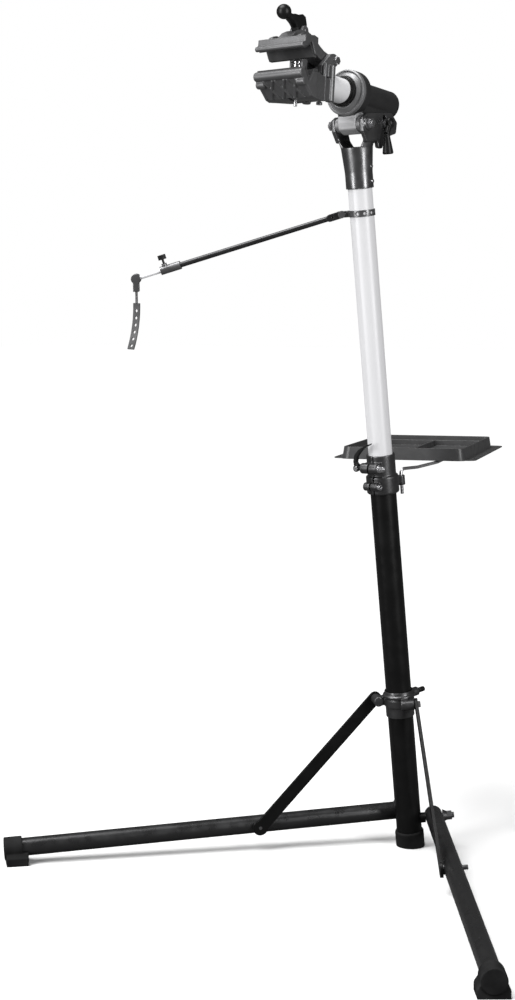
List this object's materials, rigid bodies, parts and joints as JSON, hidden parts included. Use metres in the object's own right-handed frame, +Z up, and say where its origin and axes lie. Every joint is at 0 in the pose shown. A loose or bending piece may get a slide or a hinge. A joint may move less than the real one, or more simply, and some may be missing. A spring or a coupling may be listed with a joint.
{
  "type": "bicycle repair stand",
  "caption": "Folding bicycle repair stand: leaning telescopic mast on a foot and folding legs, pivoting clamp head with cam jaws, tool tray and steadying arm.",
  "frame": {"origin": "centre of the mast foot's face on the floor", "axes": "+Z up, +X the way the mast leans and the legs spread, +Y to the left of that direction"},
  "size_m": [0.9554, 1.0146, 1.4384],
  "materials": {
    "black_coat": "satin powder coat",
    "cast_black": "satin black casting",
    "silver_tube": "bright satin anodised",
    "grey_cast": "bead-blasted casting",
    "chrome_part": "polished",
    "steel_wire": "drawn wire",
    "grey_steel": "satin dark grey",
    "black_plastic": "moulded",
    "tray_plastic": "moulded",
    "black_rubber": "moulded",
    "pad_rubber": "moulded"
  },
  "bodies": {
    "mast": {"lower_mast_tube": "black_coat", "mast_foot_cap": "black_rubber", "leg_spacers": "black_plastic", "leg_pivot_bolts": "cast_black", "leg_pivot_washers": "cast_black", "leg_pivot_nuts": "grey_steel", "mast_clamp": "cast_black", "mast_bush": "black_plastic", "clamp_bolt": "chrome_part", "quick_release_skewer": "chrome_part", "quick_release_barrel": "chrome_part"},
    "quick_release": {"quick_release_lever": "black_plastic"},
    "slider": {"slider_collar": "cast_black", "slider_bushes": "black_plastic", "brace_bolts": "chrome_part"},
    "lock_pin": {"lock_pin": "black_plastic", "lock_pin_spring": "steel_wire"},
    "leg_left": {"leg_tube_left": "black_coat", "leg_boss_left": "cast_black", "leg_foot_left": "black_rubber"},
    "leg_right": {"leg_tube_right": "black_coat", "leg_boss_right": "cast_black", "leg_foot_right": "black_rubber"},
    "brace_left": {"brace_bar_left": "black_coat", "brace_pin_left": "grey_steel"},
    "brace_right": {"brace_bar_right": "black_coat", "brace_pin_right": "grey_steel"},
    "mast_carriage": {"tube_end_plug": "black_plastic"},
    "upper_mast": {"upper_mast_tube": "silver_tube", "head_yoke": "cast_black", "yoke_rivets": "chrome_part", "tilt_pivot_bolt": "chrome_part", "arm_band": "grey_steel", "arm_band_bolt": "grey_steel"},
    "head": {"head_housing": "cast_black", "flange_ring": "grey_cast", "head_bushes": "black_plastic", "housing_end_cap": "black_plastic", "tilt_barrel": "grey_cast", "lock_bolt": "chrome_part"},
    "lock_handle": {"lock_handle": "black_plastic"},
    "clamp": {"clamp_tube": "silver_tube", "lower_jaw": "cast_black", "lower_jaw_pad": "pad_rubber", "jaw_hinge_pin": "chrome_part", "clamp_tube_bolt": "chrome_part"},
    "upper_jaw": {"upper_jaw": "cast_black", "upper_jaw_pad": "pad_rubber", "cam_pin": "chrome_part"},
    "cam_handle": {"cam_handle": "black_plastic"},
    "clamp_rod": {"clamp_rod": "steel_wire"},
    "adjusting_nut": {"adjusting_nut": "chrome_part"},
    "arm": {"arm_tube": "grey_steel", "arm_sleeve": "grey_steel"},
    "thumbscrew": {"thumbscrew": "black_plastic"},
    "arm_rod": {"arm_rod": "steel_wire"},
    "end_strap": {"strap_joint": "grey_steel", "end_strap": "pad_rubber"},
    "tray": {"tray": "tray_plastic", "tray_wire": "steel_wire"}
  },
  "joints": [
    {"name": "leg_left_fold", "type": "hinge", "parent": "mast", "child": "leg_left", "pos_m": [-0.02214, 0.03539, 0.0536], "axis": [0.6326, -0.7694, -0.0889], "range_deg": [0, 86.05]},
    {"name": "leg_right_fold", "type": "hinge", "parent": "mast", "child": "leg_right", "pos_m": [-0.02214, -0.03539, 0.0536], "axis": [-0.6326, -0.7694, 0.0889], "range_deg": [0, 86.05]},
    {"name": "slider_slide", "type": "slide", "parent": "mast", "child": "slider", "axis": [0.1392, 0, 0.9903], "range_m": [0, 0.3454]},
    {"name": "brace_left_turn", "type": "hinge", "parent": "slider", "child": "brace_left", "pos_m": [0.04988, 0.04364, 0.26968], "axis": [0.6326, -0.7694, -0.0889], "range_deg": [-54.79, 0]},
    {"name": "brace_right_turn", "type": "hinge", "parent": "slider", "child": "brace_right", "pos_m": [0.04988, -0.04364, 0.26968], "axis": [-0.6326, -0.7694, 0.0889], "range_deg": [-54.79, 0]},
    {"name": "lock_pin_pull", "type": "slide", "parent": "slider", "child": "lock_pin", "axis": [-0.9565, 0.2588, 0.1344], "range_m": [0, 0.005], "stiffness_N_per_m": 900, "springref_m": -0.002},
    {"name": "mast_height", "type": "slide", "parent": "mast", "child": "mast_carriage", "axis": [0.1392, 0, 0.9903], "range_m": [-0.34, 0.15]},
    {"name": "mast_turn", "type": "hinge", "parent": "mast_carriage", "child": "upper_mast", "pos_m": [0.06959, 0, 0.49513], "axis": [0.1392, 0, 0.9903], "continuous": true},
    {"name": "quick_release_swing", "type": "hinge", "parent": "mast", "child": "quick_release", "pos_m": [0.13028, -0.0255, 0.68554], "axis": [0.9903, 0, -0.1392], "range_deg": [0, 150]},
    {"name": "head_tilt", "type": "hinge", "parent": "upper_mast", "child": "head", "pos_m": [0.18837, 0, 1.26489], "axis": [0, 1, 0], "range_deg": [-10, 10]},
    {"name": "lock_handle_swing", "type": "hinge", "parent": "head", "child": "lock_handle", "pos_m": [0.13672, 0, 1.26901], "axis": [0, 1, 0], "range_deg": [0, 75]},
    {"name": "clamp_spin", "type": "hinge", "parent": "head", "child": "clamp", "pos_m": [0.20935, 0, 1.31652], "axis": [0.9962, 0, 0.0872], "continuous": true},
    {"name": "jaw_open", "type": "hinge", "parent": "clamp", "child": "upper_jaw", "pos_m": [0.26635, 0, 1.35915], "axis": [0, -1, 0], "range_deg": [-5.5, 15]},
    {"name": "clamp_rod_tilt", "type": "hinge", "parent": "upper_jaw", "child": "clamp_rod", "pos_m": [0.3325, 0, 1.40057], "axis": [0, -1, 0], "range_deg": [-5.1, 1.87]},
    {"name": "cam_handle_swing", "type": "hinge", "parent": "upper_jaw", "child": "cam_handle", "pos_m": [0.3325, 0, 1.40057], "axis": [0, -1, 0], "range_deg": [0, 110]},
    {"name": "adjusting_nut_spin", "type": "hinge", "parent": "clamp", "child": "adjusting_nut", "pos_m": [0.33716, 0, 1.34728], "axis": [-0.0872, 0, 0.9962], "continuous": true},
    {"name": "arm_swing", "type": "hinge", "parent": "upper_mast", "child": "arm", "pos_m": [0.17589, -0.02842, 1.11739], "axis": [0.8277, 0.549, -0.1163], "range_deg": [-40, 50]},
    {"name": "arm_extend", "type": "slide", "parent": "arm", "child": "arm_rod", "axis": [0.5002, -0.8157, -0.2906], "range_m": [-0.025, 0.2]},
    {"name": "thumbscrew_turn", "type": "hinge", "parent": "arm", "child": "thumbscrew", "pos_m": [0.33346, -0.28536, 1.02586], "axis": [0.2544, -0.1823, 0.9498], "continuous": true},
    {"name": "strap_swing", "type": "hinge", "parent": "arm_rod", "child": "end_strap", "pos_m": [0.36047, -0.3294, 1.01017], "axis": [0.8277, 0.549, -0.1163], "range_deg": [-60, 60]},
    {"name": "tray_swivel", "type": "hinge", "parent": "mast", "child": "tray", "pos_m": [0.04548, 0.00668, 0.66514], "axis": [0.1392, 0, 0.9903], "range_deg": [-45, 45]}
  ],
  "couplings": [
    {"joint": "leg_right_fold", "follows": "leg_left_fold", "ratio": 1},
    {"joint": "slider_slide", "follows": "leg_left_fold", "m_per_rad": 0.22998},
    {"joint": "brace_left_turn", "follows": "leg_left_fold", "ratio": -0.6367},
    {"joint": "brace_right_turn", "follows": "leg_left_fold", "ratio": -0.6367},
    {"joint": "clamp_rod_tilt", "follows": "jaw_open", "ratio": -0.34}
  ]
}
